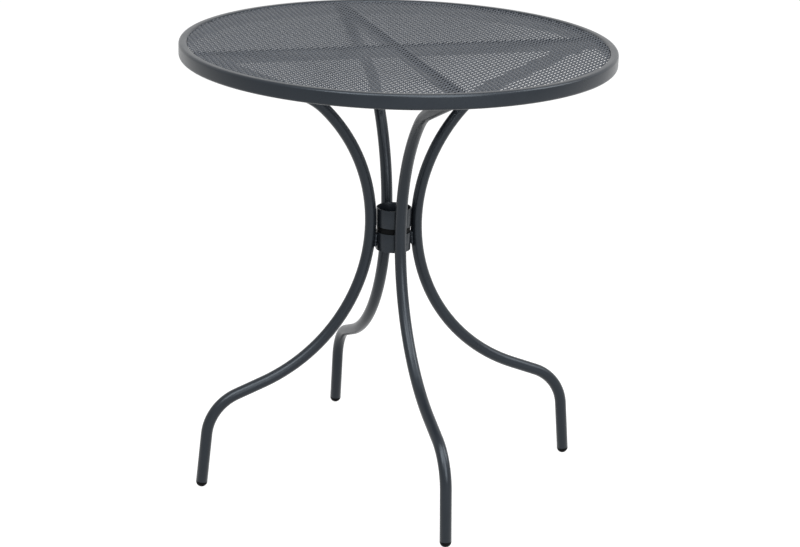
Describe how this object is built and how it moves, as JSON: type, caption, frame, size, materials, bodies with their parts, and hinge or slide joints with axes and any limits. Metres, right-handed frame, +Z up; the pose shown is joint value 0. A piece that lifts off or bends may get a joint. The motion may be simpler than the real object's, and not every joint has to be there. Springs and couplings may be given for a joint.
{
  "type": "garden table",
  "caption": "Round garden table with an expanded metal mesh top in a tubular rim, on bent tube legs drawn in to a pair of collars at the waist.",
  "frame": {"origin": "on the floor, below the centre of the top", "axes": "+Z up; the legs stand along +X right, +Y back, -X left and -Y front"},
  "size_m": [0.6999, 0.7, 0.735],
  "materials": {
    "powder_coat": "satin anthracite powder coat",
    "mesh_coat": "satin anthracite powder coat on expanded metal",
    "black_plastic": "matt black moulded plastic",
    "zinc_steel": "bright zinc plated steel"
  },
  "bodies": {
    "root": {"rim": "powder_coat", "mesh_panel": "mesh_coat", "long_brace": "powder_coat", "front_brace": "powder_coat", "back_brace": "powder_coat", "upper_collar": "powder_coat", "lower_collar": "powder_coat", "centre_sleeve": "black_plastic", "weld_front": "powder_coat", "weld_back": "powder_coat", "weld_left": "powder_coat", "weld_right": "powder_coat", "threaded_inserts": "zinc_steel", "leg_screws": "zinc_steel", "leg_right": "powder_coat", "foot_cap_right": "black_plastic", "leg_tongue_right": "powder_coat", "leg_back": "powder_coat", "foot_cap_back": "black_plastic", "leg_tongue_back": "powder_coat", "leg_left": "powder_coat", "foot_cap_left": "black_plastic", "leg_tongue_left": "powder_coat", "leg_front": "powder_coat", "foot_cap_front": "black_plastic", "leg_tongue_front": "powder_coat"}
  },
  "joints": []
}
